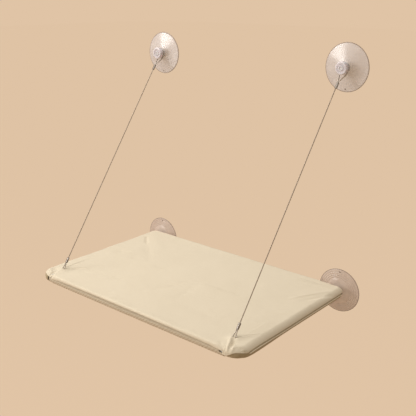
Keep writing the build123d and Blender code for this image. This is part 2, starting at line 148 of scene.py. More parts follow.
world = bpy.data.worlds.new("studio")
bpy.context.scene.world = world
world.use_nodes = True
sky_nodes = world.node_tree.nodes
sky_link = world.node_tree.links.new
sky_fill = sky_nodes["Background"]
fill(sky_fill, {"Color": (1.0, 0.90, 0.78, 1), "Strength": 0.46})
sky_board = sky_nodes.new("ShaderNodeBackground")
fill(sky_board, {"Color": board_colour, "Strength": 1.0})
sky_mix = sky_nodes.new("ShaderNodeMixShader")
sky_link(seen_directly(sky_nodes, sky_link), sky_mix.inputs[0])
sky_link(sky_fill.outputs[0], sky_mix.inputs[1])
sky_link(sky_board.outputs[0], sky_mix.inputs[2])
sky_link(sky_mix.outputs[0], sky_nodes["World Output"].inputs["Surface"])


# Lamps: a softbox up to the left of the camera gives the modelling and the streaks on the cups, a
# weak card low on the left lifts the front strip and the left cups, and a broad weak panel overhead
# lifts the top of the cloth.
def softbox(name, place, towards, width, height, power, tint):
    """Rectangular lamp that stands at a place and faces a point."""
    lamp = bpy.data.lights.new(name, "AREA")
    lamp.shape = "RECTANGLE"
    lamp.size = width
    lamp.size_y = height
    lamp.energy = power
    lamp.color = tint
    holder = in_scene(name, lamp)
    holder.location = place
    holder.rotation_mode = "QUATERNION"
    holder.rotation_quaternion = (Vector(towards) - Vector(place)).to_track_quat("-Z", "Y")


softbox("key_softbox", (-2.40, -2.75, 1.30), (0, -0.15, 0.3), 1.35, 1.2, 52, (1, 0.98, 0.95))
softbox("low_fill_card", (-1.75, -3.10, -0.20), (-0.236, 0, 0.42), 0.9, 1.2, 8, (1, 1, 1))
softbox("overhead_panel", (-0.40, -0.32, 1.30), (-0.05, -0.20, 0), 1.2, 1.2, 10.3, (1, 0.98, 0.95))


# Cables: two millimetre steel strand, crimped to an eye over the spool on the upper stud and to
# an eye in the ring on the front tube. They carry the platform, so they hang dead straight.
cable_width = 0.002
wires = 6
strand_step = 0.0011
strand_lay = 0.0125
upper_cup_x = 0.2359
upper_cup_z = 0.4485
spool_point = Vector((upper_cup_x, -0.01235, upper_cup_z))
ring_middle = Vector((0.2313, -0.33405, 0.0056))
ring_bend = 0.0055
ring_rod = 0.00175
rod_gap = 0.00005
upper_eye_length = 0.0315
lower_eye_length = 0.0275
neck_length = 0.0035
leg_offset = 0.00105
crimp_length = 0.012
straight_end = 0.012
ring_lean = (spool_point - ring_middle).normalized()
ring_top = ring_middle + Vector((0, ring_lean.y, ring_lean.z)).normalized() * ring_bend
pull = (spool_point - ring_top).normalized()
across = (Vector((1, 0, 0)) - pull * pull.x).normalized()
upper_crimp_top = spool_point - pull * upper_eye_length
upper_crimp_low = upper_crimp_top - pull * crimp_length
eye_low = ring_top - pull * (ring_rod + cable_width / 2 + rod_gap)
lower_crimp_low = eye_low + pull * lower_eye_length
lower_crimp_top = lower_crimp_low + pull * crimp_length
straight_run = [upper_crimp_low, upper_crimp_low - pull * straight_end,
                lower_crimp_top + pull * straight_end, lower_crimp_top]
both_sides = (("right", 1), ("left", -1))


def mirrored(point, side):
    """The point itself on the right side, and its mirror image on the left."""
    return Vector((point.x * side, point.y, point.z))


def smooth_route(points, step):
    """Evenly spaced points along the NURBS line through a route of control points."""
    curve = bpy.data.curves.new("route", "CURVE")
    curve.dimensions = "3D"
    spline = curve.splines.new("NURBS")
    spline.points.add(len(points) - 1)
    for place, point in zip(spline.points, points):
        place.co = (*point, 1)
    spline.order_u = 3
    spline.use_endpoint_u = True
    spline.resolution_u = 24
    holder = bpy.data.objects.new("route", curve)
    line = bpy.data.meshes.new_from_object(holder)
    raw = [vertex.co.copy() for vertex in line.vertices]
    bpy.data.objects.remove(holder)
    bpy.data.meshes.remove(line)
    total = sum((end - start).length for start, end in zip(raw, raw[1:]))
    count = max(4, round(total / step))
    even = [raw[0]]
    gone = 0.0
    wanted = total / count
    for start, end in zip(raw, raw[1:]):
        reach = (end - start).length
        while reach > 0 and len(even) < count and wanted <= gone + reach:
            even.append(start.lerp(end, (wanted - gone) / reach))
            wanted = total / count * len(even)
        gone += reach
    even.append(raw[-1])
    return even


def carried_frames(line):
    """(point, side, normal) along a line, with the side carried along without twist."""
    first = (line[1] - line[0]).normalized()
    side = first.orthogonal().normalized()
    rows = []
    for index, point in enumerate(line):
        before = line[max(0, index - 1)]
        after = line[min(len(line) - 1, index + 1)]
        along = (after - before).normalized()
        side = (side - along * side.dot(along)).normalized()
        rows.append((point, side, along.cross(side)))
    return rows


def stranded_cable(name, points, side_sign, material):
    """Six wires laid round a core along a smooth route: (piece, the line that it follows)."""
    line = smooth_route([mirrored(point, side_sign) for point in points], strand_step)
    rows = carried_frames(line)
    wire = cable_width / 6
    curve = bpy.data.curves.new(name, "CURVE")
    curve.dimensions = "3D"
    curve.bevel_depth = wire
    curve.bevel_resolution = 1
    curve.use_fill_caps = True
    for strand in range(wires + 1):
        spline = curve.splines.new("POLY")
        spline.points.add(len(rows) - 1)
        for index, (point, side, normal) in enumerate(rows):
            turn = 2 * pi * (index * strand_step / strand_lay + strand / wires)
            reach = 0 if strand == wires else 2 * wire
            place = point + side * (reach * cos(turn)) + normal * (reach * sin(turn))
            spline.points[index].co = (*place, 1)
    holder = bpy.data.objects.new(name, curve)
    data = bpy.data.meshes.new_from_object(holder)
    bpy.data.objects.remove(holder)
    data.name = name
    for face in data.polygons:
        face.use_smooth = True
    data.materials.clear()
    data.materials.append(material)
    return in_scene(name, data), line


def shader_group(name, inputs, outputs):
    """New node group with its sockets: (group, nodes, link function, entry, exit)."""
    group = bpy.data.node_groups.new(name, "ShaderNodeTree")
    for way, sockets in (("INPUT", inputs), ("OUTPUT", outputs)):
        for label, kind in sockets:
            group.interface.new_socket(label, in_out=way, socket_type="NodeSocket" + kind)
    entry = group.nodes.new("NodeGroupInput")
    leave = group.nodes.new("NodeGroupOutput")
    return group, group.nodes, group.links.new, entry, leave


def noise_texture(tree_nodes, link, place, detail, scale=1.0):
    """Noise node that reads the given place."""
    texture = tree_nodes.new("ShaderNodeTexNoise")
    fill(texture, {"Scale": scale, "Detail": detail})
    link(place, texture.inputs["Vector"])
    return texture


def bump(tree_nodes, link, height, strength, distance):
    """Bump node that reads the given height."""
    rise = tree_nodes.new("ShaderNodeBump")
    fill(rise, {"Strength": strength, "Distance": distance})
    link(height, rise.inputs["Height"])
    return rise


def surface_grain_group():
    """Fine mottling shared by the metals and mouldings: colour, roughness and bump height. The
    height has nine times as fine a grain as the colour."""
    group, inside, link, entry, leave = shader_group(
        "surface_grain",
        [("Light", "Color"), ("Dark", "Color"), ("Scale", "Float"), ("Smooth", "Float"),
         ("Rough", "Float")],
        [("Colour", "Color"), ("Roughness", "Float"), ("Height", "Float")])
    place = inside.new("ShaderNodeTexCoord")
    cloud = noise_texture(inside, link, place.outputs["Object"], 5)
    fine = noise_texture(inside, link, place.outputs["Object"], 3)
    finer = inside.new("ShaderNodeMath")
    finer.operation = "MULTIPLY"
    finer.inputs[1].default_value = 9
    link(entry.outputs["Scale"], cloud.inputs["Scale"])
    link(entry.outputs["Scale"], finer.inputs[0])
    link(finer.outputs[0], fine.inputs["Scale"])
    blend = inside.new("ShaderNodeMix")
    blend.data_type = "RGBA"
    link(cloud.outputs["Fac"], blend.inputs["Factor"])
    link(entry.outputs["Light"], blend.inputs["A"])
    link(entry.outputs["Dark"], blend.inputs["B"])
    spread = inside.new("ShaderNodeMapRange")
    link(cloud.outputs["Fac"], spread.inputs["Value"])
    link(entry.outputs["Smooth"], spread.inputs["To Min"])
    link(entry.outputs["Rough"], spread.inputs["To Max"])
    link(blend.outputs["Result"], leave.inputs["Colour"])
    link(spread.outputs["Result"], leave.inputs["Roughness"])
    link(fine.outputs["Fac"], leave.inputs["Height"])
    return group


surface_grain = surface_grain_group()


def grained(name, light, dark, scale, smooth, rough, metallic=0.0, relief=0.15):
    """Material whose colour, roughness and bump come from the shared grain."""
    material, tree_nodes, link, shader = shader_material(name)
    grain = tree_nodes.new("ShaderNodeGroup")
    grain.node_tree = surface_grain
    fill(grain, {"Light": (*light, 1), "Dark": (*dark, 1), "Scale": scale, "Smooth": smooth, "Rough": rough})
    rise = bump(tree_nodes, link, grain.outputs["Height"], relief, 0.0001)
    link(grain.outputs["Colour"], shader.inputs["Base Color"])
    link(grain.outputs["Roughness"], shader.inputs["Roughness"])
    link(rise.outputs["Normal"], shader.inputs["Normal"])
    fill(shader, {"Metallic": metallic})
    return material


strand_steel = grained("strand_steel", (0.42, 0.375, 0.325), (0.36, 0.315, 0.27), 180, 0.45, 0.6,
                       metallic=0.7)
# The eyes are the same steel as the run, painted paler: painted highlight on their strands.
eye_steel_painted_highlight = grained("eye_steel_painted_highlight", (0.66, 0.64, 0.61), (0.30, 0.275, 0.25), 300, 0.22, 0.42, metallic=0.9)
crimp_metal = grained("crimp_metal", (0.30, 0.28, 0.26), (0.10, 0.092, 0.085), 240, 0.22, 0.4,
                      metallic=0.85)


def eye_round_spool():
    """Route of the upper eye: out of the crimp, beside the nut's rim, round the spool and back."""
    groove_line = 0.00905
    half_opening = 0.00625
    nut_radius = 0.0125
    entry = upper_crimp_top + across * leg_offset
    neck = entry + pull * neck_length
    rim = nut_radius + cable_width / 2 + 0.0001
    rim_angle = asin((leg_offset + half_opening) / rim)
    start = rim_angle + acos(groove_line / rim)
    turns = 8
    step = (2 * pi - 2 * start) / turns
    outward = groove_line / cos(step / 2)

    def groove(angle, radius):
        return spool_point + Vector((radius * sin(angle), 0, -radius * cos(angle)))

    leg = [entry, entry.lerp(neck, 0.55), neck]
    loop = [groove(start + step * (turn + 0.5), outward) for turn in range(turns)]
    back = [point - across * 2 * leg_offset for point in reversed(leg)]
    return leg + [groove(rim_angle, rim)] + loop + [groove(-rim_angle, rim)] + back


def eye_in_ring():
    """Route of the lower eye: a narrow drop shape that passes under the ring's rod."""
    bend = 0.0048
    middle = eye_low + pull * bend
    entry = lower_crimp_low + across * leg_offset
    neck = entry - pull * neck_length
    turns = 6
    sweep = radians(214)
    step = sweep / turns
    outward = bend / cos(step / 2)
    leg = [entry, entry.lerp(neck, 0.6), neck]
    loop = []
    for turn in range(turns):
        angle = sweep / 2 - step * (turn + 0.5)
        loop.append(middle + across * (outward * sin(angle)) - pull * (outward * cos(angle)))
    back = [point - across * 2 * leg_offset for point in reversed(leg)]
    return leg + loop + back


def pressed_sleeve(name, low, side):
    """Oval crimp sleeve with three shallow press marks and rounded ends."""
    half_flat = 0.0011
    wall_radius = 0.0017
    half_width = half_flat + wall_radius
    mesh = bmesh.new()
    ring = bmesh.ops.create_circle(mesh, cap_ends=True, segments=28, radius=1)["verts"]
    for vertex in ring:
        wide = max(-half_flat, min(half_flat, vertex.co.x * half_width))
        vertex.co = Vector((wide + vertex.co.x * wall_radius, vertex.co.y * wall_radius, 0))
    face = mesh.faces[:][0]
    steps = [(0.0, 0.80), (0.0004, 0.94), (0.0010, 1.0)]
    for mark in (0.0022, 0.0053, 0.0082):
        steps += [(mark, 1.0), (mark + 0.0005, 0.92), (mark + 0.0011, 0.92), (mark + 0.0016, 1.0)]
    steps += [(crimp_length - 0.0010, 1.0), (crimp_length - 0.0004, 0.94), (crimp_length, 0.80)]
    height, scale = steps[0]
    bmesh.ops.scale(mesh, verts=mesh.verts, vec=(scale, scale, 1))
    for next_height, next_scale in steps[1:]:
        grown = bmesh.ops.extrude_face_region(mesh, geom=[face])["geom"]
        ring = [item for item in grown if isinstance(item, bmesh.types.BMVert)]
        face = [item for item in grown if isinstance(item, bmesh.types.BMFace)][0]
        bmesh.ops.translate(mesh, verts=ring, vec=(0, 0, next_height - height))
        bmesh.ops.scale(mesh, verts=ring, vec=(next_scale / scale, next_scale / scale, 1))
        height, scale = next_height, next_scale
    walls_inside = [one for one in mesh.faces
                    if len(one.verts) > 4 and one is not face and one.calc_center_median().z > 0.0001]
    bmesh.ops.delete(mesh, geom=walls_inside, context="FACES_ONLY")
    turn = Matrix((across, pull.cross(across), pull)).transposed().to_4x4()
    bmesh.ops.transform(mesh, matrix=Matrix.Translation(low) @ turn, verts=mesh.verts)
    if side < 0:
        bmesh.ops.scale(mesh, verts=mesh.verts, vec=(-1, 1, 1))
    bmesh.ops.recalc_face_normals(mesh, faces=mesh.faces)
    return finished_piece(name, mesh, crimp_metal)


ends = (("upper", "window_side", eye_round_spool(), upper_crimp_low),
        ("lower", "platform", eye_in_ring(), lower_crimp_low))
for word, side in both_sides:
    run, run_line = stranded_cable("strand_run_" + word, straight_run, side, strand_steel)
    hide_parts("cable_run_" + word)
    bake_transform(run)
    fittings = []
    for row, body, route, crimp_low in ends:
        eye, _ = stranded_cable("strand_eye_%s_%s" % (row, word), route, side, eye_steel_painted_highlight)
        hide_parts("cable_eye_%s_%s" % (row, word))
        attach(eye, body)
        crimp = pressed_sleeve("crimp_%s_%s" % (row, word), crimp_low, side)
        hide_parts("ferrule_%s_%s" % (row, word))
        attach(crimp, body)
        fittings += [eye, crimp]


# Suction cups: soft vinyl, each moulded as one thin cone with a flat sealing lip, a solid hub and a
# small pip near its edge. The upper pair is clear and a little milky. The lower pair, with four
# shallow grooves round the cone, has a darker, browner and less glossy copy of the same vinyl, as
# painted shade for the shade below the platform. On all four the lip's outer edge and the pip are
# painted darker, as painted shade for the dark line that clear vinyl shows where it is seen through
# its thickness.
lower_cup_x = 0.2498
cup_places = (("upper", upper_cup_x, upper_cup_z), ("lower", lower_cup_x, 0.0))
cone_foot = (0.0420, 0.0023)
cone_middle = (0.0300, 0.00448)
cone_slope = 0.181
rim_start = 0.0446
pip_reach = 0.0404
pip_out = 0.0026
pip_radius = 0.0015
pip_zone = 0.0016
# The cup's section as (radius, distance from the glass): along the hollow inner face, round the
# lip's edge, up the cone and over the hub.
cup_profile = [
    (0.0, 0.0026), (0.010, 0.0024), (0.030, 0.0006), (0.0345, 0.0001), (0.0355, 0.0), (0.0450, 0.0),
    (0.0457, 0.0002), (0.0460, 0.0006), (0.0459, 0.0011), (0.0454, 0.0014), (rim_start, 0.0017),
    (0.0437, 0.0020), cone_foot, cone_middle, (0.0180, 0.00664), (0.0125, 0.0077), (0.0115, 0.0081),
    (0.0110, 0.0086), (0.0106, 0.0089), (0.0100, 0.0090), (0.0, 0.0090)]
groove_cut = ((0.0008, 0), (0.0003, 0.00045), (-0.0003, 0.00045), (-0.0008, 0))
cup_grooves = [(middle + away, cone_foot[1] + (cone_foot[0] - middle - away) * cone_slope - depth)
               for middle in (0.0400, 0.0360, 0.0320, 0.0280) for away, depth in groove_cut]


def vinyl_material(name, deep, pale, gloss, coat):
    """Milky vinyl, denser where it is seen edge on, with a cloudy body and a soft ripple."""
    material, tree_nodes, link, shader = shader_material(name)
    place = tree_nodes.new("ShaderNodeTexCoord")
    cloud = noise_texture(tree_nodes, link, place.outputs["Object"], 4, 38)
    milk = tree_nodes.new("ShaderNodeValToRGB")
    milk.color_ramp.elements[0].position = 0.3
    milk.color_ramp.elements[0].color = (*deep, 1)
    milk.color_ramp.elements[1].position = 0.72
    milk.color_ramp.elements[1].color = (*pale, 1)
    link(cloud.outputs["Fac"], milk.inputs["Fac"])
    link(milk.outputs["Color"], shader.inputs["Base Color"])
    edge = tree_nodes.new("ShaderNodeLayerWeight")
    fill(edge, {"Blend": 0.35})
    dense = tree_nodes.new("ShaderNodeMapRange")
    fill(dense, {"To Min": 0.5, "To Max": 0.85})
    link(edge.outputs["Facing"], dense.inputs["Value"])
    link(dense.outputs["Result"], shader.inputs["Alpha"])
    ripple = noise_texture(tree_nodes, link, place.outputs["Object"], 2, 55)
    rise = bump(tree_nodes, link, ripple.outputs["Fac"], 0.03, 0.0003)
    link(rise.outputs["Normal"], shader.inputs["Normal"])
    fill(shader, {"Roughness": 0.19, "Specular IOR Level": gloss, "Coat Weight": coat,
                  "Coat Roughness": 0.42})
    return material


# The lower cups' vinyl is a darker, browner, less glossy copy of the upper one: painted shade.
vinyls = {"upper": vinyl_material("clear_vinyl", (0.64, 0.585, 0.575), (0.74, 0.695, 0.69), 0.72, 0.8),
          "lower": vinyl_material("lower_vinyl_painted_shade", (0.60, 0.48, 0.42), (0.74, 0.62, 0.55), 0.3, 0.2)}
# Painted shade: the lip's outer edge and the pip take a darker, denser vinyl, for the dark line and spot
# that clear vinyl shows where it is seen through its thickness.
vinyl_painted_dark_edge = grained("vinyl_painted_dark_edge", (0.31, 0.235, 0.205), (0.24, 0.18, 0.155), 120, 0.2, 0.3, relief=0.05)
fill(vinyl_painted_dark_edge.node_tree.nodes["Principled BSDF"], {"Alpha": 0.58})

for row, reach, height in cup_places:
    for word, side in both_sides:
        mesh = bmesh.new()
        profile = list(cup_profile)
        if row == "lower":
            place = profile.index(cone_middle)
            profile[place:place + 1] = cup_grooves
        spots = [mesh.verts.new((radius, -out, 0)) for radius, out in profile]
        edges = [mesh.edges.new(pair) for pair in zip(spots, spots[1:])]
        bmesh.ops.spin(mesh, geom=spots + edges, cent=(0, 0, 0), axis=(0, 1, 0), dvec=(0, 0, 0),
                       angle=2 * pi, steps=96, use_merge=True)
        bmesh.ops.remove_doubles(mesh, verts=mesh.verts, dist=0.000005)
        pip_turn = radians(-90 if row == "upper" else 90)
        pip_place = Vector((pip_reach * cos(pip_turn), -pip_out, pip_reach * sin(pip_turn)))
        pip = bmesh.ops.create_uvsphere(mesh, u_segments=16, v_segments=8, radius=pip_radius,
                                        matrix=Matrix.Translation(pip_place))["verts"]
        bmesh.ops.scale(mesh, verts=pip, vec=(1, 0.6, 1), space=Matrix.Translation(-pip_place))
        bmesh.ops.recalc_face_normals(mesh, faces=mesh.faces)
        # Faces past the lip's start and on the pip take the painted dark edge.
        for face in mesh.faces:
            middle = face.calc_center_median()
            if hypot(middle.x, middle.z) > rim_start or (middle - pip_place).length < pip_zone:
                face.material_index = 1
        bmesh.ops.translate(mesh, verts=mesh.verts, vec=(side * reach, 0, height))
        cup = finished_piece("cup_%s_%s" % (row, word), mesh, vinyls[row])
        cup.data.materials.append(vinyl_painted_dark_edge)
        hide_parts("suction_cup_%s_%s" % (row, word))
        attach(cup, "window_side")


# Studs, spools and brackets: turned and moulded pieces on the cups' hubs. The studs and the hinge
# pins are zinc plated steel, and the spools that carry the cables' eyes and the brackets of the
# hinge are nylon.
def dress(names, material):
    """Gives CAD nodes their finish."""
    for name in names:
        held = nodes[name]
        held.data.materials.clear()
        held.data.materials.append(material)


zinc_steel = grained("zinc_steel", (0.56, 0.55, 0.56), (0.42, 0.41, 0.42), 160, 0.42, 0.6, metallic=0.85)
spool_nylon = grained("spool_nylon", (0.74, 0.70, 0.69), (0.66, 0.62, 0.60), 140, 0.4, 0.55)
dark_nylon = grained("dark_nylon", (0.085, 0.080, 0.076), (0.055, 0.052, 0.050), 150, 0.45, 0.6)
dress(["stud_upper_right", "stud_upper_left", "hinge_pin_right", "hinge_pin_left"], zinc_steel)
dress(["cable_spool_right", "cable_spool_left"], spool_nylon)
dress(["eye_bracket_lower_right", "eye_bracket_lower_left"], dark_nylon)


# Thumb nuts: fluted discs moulded in translucent smoky plastic over a hexagonal brass insert.
# The raised ring and the boss on the face catch the light.
smoky_plastic = grained("smoky_plastic", (0.70, 0.665, 0.70), (0.62, 0.585, 0.62), 120, 0.2, 0.32,
                        relief=0.1)
fill(smoky_plastic.node_tree.nodes["Principled BSDF"],
     {"Subsurface Weight": 0.6, "Subsurface Radius": (0.009, 0.008, 0.008), "Subsurface Scale": 1.0})
insert_brass = grained("insert_brass", (0.60, 0.42, 0.16), (0.42, 0.28, 0.10), 200, 0.3, 0.5, metallic=1.0)
dress(["knob_right", "knob_left"], smoky_plastic)
dress(["knob_insert_right", "knob_insert_left"], insert_brass)


# Frame: powder coated steel tubes, plugged together with brown nylon corner pieces. Plated snap
# buttons on spring leaves lock the front and rear tubes, and a welded ring takes each cable.
plug_nylon = grained("plug_nylon", (0.20, 0.165, 0.125), (0.15, 0.12, 0.09), 150, 0.45, 0.6)
powder_coat = grained("powder_coat", (0.62, 0.60, 0.56), (0.56, 0.54, 0.50), 260, 0.38, 0.5, relief=0.3)
bright_spring = grained("bright_spring", (0.50, 0.50, 0.50), (0.36, 0.36, 0.37), 200, 0.25, 0.4,
                        metallic=1.0)
dress(["frame_tube_front", "frame_tube_rear", "frame_tube_side_right", "frame_tube_side_left",
       "cable_ring_right", "cable_ring_left"], powder_coat)
dress(["corner_front_right", "corner_front_left", "corner_rear_right", "corner_rear_left"], plug_nylon)
dress([name for name in nodes if name.startswith("snap_button")], zinc_steel)
for row, way in (("front", 1), ("rear", -1)):
    for word, side in both_sides:
        node = "button_spring_%s_%s" % (row, word)
        shape = nodes[node].data.copy()
        shape.transform(nodes[node].matrix_world)
        shape.name = "leaf_spring_%s_%s" % (row, word)
        shape.materials.clear()
        shape.materials.append(bright_spring)
        leaf = in_scene(shape.name, shape)
        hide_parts(node)
        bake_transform(leaf)


# Cover: cream canvas cut as one panel, pulled over the frame and rolled round the tubes. Its front
# edge is a turned hem above a strip of the front flap, and slits at the corners clear the rings.
frame_half = 0.258
frame_front = -0.347
frame_rear = -0.020
frame_level = 0.0045
front_bend = 0.020
rear_bend = 0.0060
roll_radius = 0.0118
strip_radius = 0.0112
roll_cut = roll_radius * radians(88)
upright_turn = radians(74)
hang_lean = radians(84)
hang_out = 0.10
corner_tuck = 0.0013
side_bulge = 0.0011
left_bulge = 0.0026
side_rise = 0.09
left_rise = 0.27
right_drop = 0.20
right_rise = 0.47
hem_level = 0.0076
hem_end = 0.2322
grid_fine = 0.0010
cell = 0.0032


def eased(value, low, high):
    """0 below low, 1 above high, and a smooth rise between them."""
    share = max(0.0, min(1.0, (value - low) / (high - low)))
    return share * share * (3 - 2 * share)


def squareness(x, away_y, along_front):
    """Exponent of the roll's section: flat with a tight turn on the front edge, sloping along the
    sides and round at the rear."""
    if along_front:
        return 1.75 + 3.85 * (1 - eased(abs(x), 0.205, 0.237))
    return 1.75 + 0.2 * max(0.0, away_y)


def section(over, radius, exponent, upright):
    """(out, lift, lean) of cloth that has gone a length over round the tube. Where it is held
    upright it hangs straight down once it has turned far enough."""
    turn = over / radius
    if upright and turn > upright_turn:
        out, lift, lean = section(upright_turn * radius, radius, exponent, False)
        below = over - upright_turn * radius
        return out + hang_out * below, lift - below, hang_lean
    across_share, up_share = sin(turn), cos(turn)
    grown = (abs(across_share) ** exponent + abs(up_share) ** exponent) ** (-1 / exponent)
    slope_out = abs(across_share) ** (exponent - 1)
    slope_up = abs(up_share) ** (exponent - 1) * (1 if up_share >= 0 else -1)
    return radius * grown * across_share, radius * grown * up_share, atan2(slope_out, slope_up)


def on_frame(x, y, radius, side, upright=False):
    """Point, outward normal and overhang of cloth laid round the frame. x and y are read on the
    flat cloth; side is 1 for cloth laid from above and -1 for cloth laid from below. At the front
    corners the panel ends higher up, and what lies below it is tucked in."""
    middle = (frame_front + frame_rear) / 2
    front_half = y < middle
    bend = front_bend if front_half else rear_bend
    corner_x = frame_half - bend
    corner_y = frame_front + bend if front_half else frame_rear - bend
    way = -1 if front_half else 1
    past_x = abs(x) - corner_x
    past_y = (y - corner_y) * way
    mark = 1 if x >= 0 else -1
    at_corner = past_x > 0 and past_y > 0
    if at_corner:
        reach = max(past_x, past_y)
        turn = past_y / past_x * pi / 4 if past_x >= past_y else pi / 2 - past_x / past_y * pi / 4
        base_x, base_y, away_x, away_y = corner_x, corner_y, cos(turn), sin(turn) * way
    elif past_x > 0:
        reach, base_x, base_y, away_x, away_y = past_x, corner_x, y, 1, 0
    elif past_y > 0:
        reach, base_x, base_y, away_x, away_y = past_y, abs(x), corner_y, 0, way
    else:
        reach, base_x, base_y, away_x, away_y = 0, abs(x), y, 0, 0
    over = reach - bend
    forward = eased(abs(away_y), 0.15, 0.98) if front_half and abs(x) > hem_end else 0.0
    if away_y == 0 or front_half:
        along = eased(y, -0.340, -0.312) * (1 - eased(y, -0.300, -0.215))
        radius += side_bulge * along * (1 - forward) * (past_x > 0)
    past_slit = min(abs(x), corner_x) - hem_end + (bend * acos(abs(away_y)) if at_corner else 0.0)
    if x < 0 and front_half and at_corner:
        radius += left_bulge * abs(away_x * away_y) * 2 * eased(over, -0.010, 0.004)
    if over <= 0:
        out, lift, lean = reach, radius, 0.0
    elif side > 0 and upright:
        right_change = right_drop - right_rise * eased(past_slit, 0.0050, 0.0200)
        over *= 1 + forward * (right_change if x > 0 else -left_rise)
        over *= 1 - side_rise * (1 - forward) * (past_x > 0)
        exponent = squareness(x, away_y, front_half and past_y > 0 and past_x <= 0)
        out, lift, lean = section(over, radius, exponent, abs(x) > hem_end)
        out += bend
    else:
        out, lift, lean = section(over, radius - corner_tuck * forward, 2.0, False)
        out += bend
    normal = Vector((mark * away_x * sin(lean), away_y * sin(lean), side * cos(lean)))
    point = Vector((mark * (base_x + away_x * out), base_y + away_y * out, frame_level + side * lift))
    return point, normal, over


def hem_cut(x):
    """Length of cloth past the front tube's centre line, down to the hem at x."""
    centre_drop = 0.0022 * min(1.0, abs(x) / 0.200) ** 2
    end_drop = (0.0026 if x < 0 else 0.0022) * eased(abs(x), 0.195, 0.232)
    level = hem_level - centre_drop - end_drop
    exponent = squareness(x, -1, True)
    out = roll_radius * (1 - (level / roll_radius) ** exponent) ** (1 / exponent)
    return roll_radius * atan2(out, level)


# Folds of the cloth: (x, y) from and to on the flat cloth, height, half width. Where the steel
# pulls at the front corners the cloth stands up in a ridge to the slit, with a hollow beside it.
panel_folds = [
    (0.2285, -0.3300, 0.2430, -0.3570, 0.0027, 0.0025),
    (0.2345, -0.3290, 0.2480, -0.3500, -0.0030, 0.0032),
    (0.2348, -0.3540, 0.2353, -0.3660, 0.0014, 0.0011),
    (0.2385, -0.3580, 0.2390, -0.3660, 0.0010, 0.0011),
    (0.2560, -0.3400, 0.2650, -0.3500, 0.0012, 0.0045),
    (0.2330, -0.3180, 0.2560, -0.2870, -0.0014, 0.0018),
    (0.2360, -0.3150, 0.2560, -0.2830, 0.0008, 0.0030),
    (0.2480, -0.3430, 0.2560, -0.3600, 0.0012, 0.0040),
    (0.2600, -0.3450, 0.2700, -0.3530, -0.0016, 0.0046),
    (0.2180, -0.3450, 0.2290, -0.3560, -0.0008, 0.0030),
    (-0.2270, -0.3120, -0.2030, -0.2910, -0.0015, 0.0022),
    (-0.2270, -0.3070, -0.2040, -0.2860, 0.0007, 0.0035),
    (-0.2300, -0.3280, -0.2335, -0.3480, 0.0010, 0.0030),
    (-0.2352, -0.3400, -0.2362, -0.3590, -0.0024, 0.0038),
    (-0.2415, -0.0670, -0.2120, -0.0950, -0.0020, 0.0040),
    (-0.2420, -0.0640, -0.2400, -0.0700, -0.0016, 0.0022),
    (-0.2120, -0.0950, -0.1360, -0.1630, -0.0009, 0.0110),
    (-0.2550, -0.0300, -0.1700, -0.1000, 0.0008, 0.0160),
    (0.2150, -0.1250, 0.2549, -0.0564, 0.0026, 0.0034),
    (0.2380, -0.1200, 0.2680, -0.0600, -0.0018, 0.0045),
    (0.1700, -0.0300, 0.2420, -0.0300, -0.0007, 0.0030),
    (0.1850, -0.0440, 0.2520, -0.0400, 0.0006, 0.0040),
    (0.0430, -0.2630, 0.0370, -0.1930, -0.0005, 0.0060),
    (0.0340, -0.1620, -0.0300, -0.2900, -0.0005, 0.0080),
    (-0.2300, -0.1750, -0.2060, -0.1600, -0.0010, 0.0050),
    (-0.1900, -0.3000, -0.0900, -0.2700, -0.0007, 0.0120),
    (0.2150, -0.2600, 0.2500, -0.2400, 0.0007, 0.0090),
    (0.2200, -0.2000, 0.2560, -0.1750, 0.0008, 0.0080),
    (0.1900, -0.2900, 0.0800, -0.2800, -0.0007, 0.0120),
]
# The ring and the eye hold the cloth up like a tent at each front corner, and each strand of the
# eye comes out of it through a small hole.
tent_places = [(0.2314, -0.3260), (-0.2314, -0.3260)]
tent_height = 0.0040
tent_width = 0.0115
strand_holes = [(0.2284, -0.3238), (0.2344, -0.3238), (-0.2284, -0.3238), (-0.2344, -0.3238)]
hole_radius = 0.0010
hole_dip = 0.0012
hole_dip_width = 0.0020


def fold_height(x, y):
    """How far the folds lift the cloth at a point of the flat cloth."""
    height = 0.0
    for x1, y1, x2, y2, rise, wide in panel_folds:
        along_x, along_y = x2 - x1, y2 - y1
        share = ((x - x1) * along_x + (y - y1) * along_y) / (along_x ** 2 + along_y ** 2)
        near = max(0.0, min(1.0, share))
        gap = hypot(x - x1 - along_x * near, y - y1 - along_y * near)
        if gap < 3 * wide:
            height += rise * exp(-(gap / wide) ** 2) * (0.45 + 0.55 * sin(pi * near))
    for tent_x, tent_y in tent_places:
        gap = hypot(x - tent_x, y - tent_y)
        height += tent_height * exp(-(gap / tent_width) ** 2)
    for hole_x, hole_y in strand_holes:
        gap = hypot(x - hole_x, y - hole_y)
        height -= hole_dip * exp(-(gap / hole_dip_width) ** 2)
    return height


def stations(low, high, zones):
    """Places from low to high, a cell apart, or finer in the zones given as (low, high, step)."""
    places = [low]
    while places[-1] < high - grid_fine / 2:
        here = places[-1]
        step = cell
        for zone_low, zone_high, fine in zones:
            if zone_low - 1e-6 <= here < zone_high - 1e-6:
                step = fine
            elif here < zone_low < here + step:
                step = zone_low - here
        places.append(min(high, here + step))
    return places


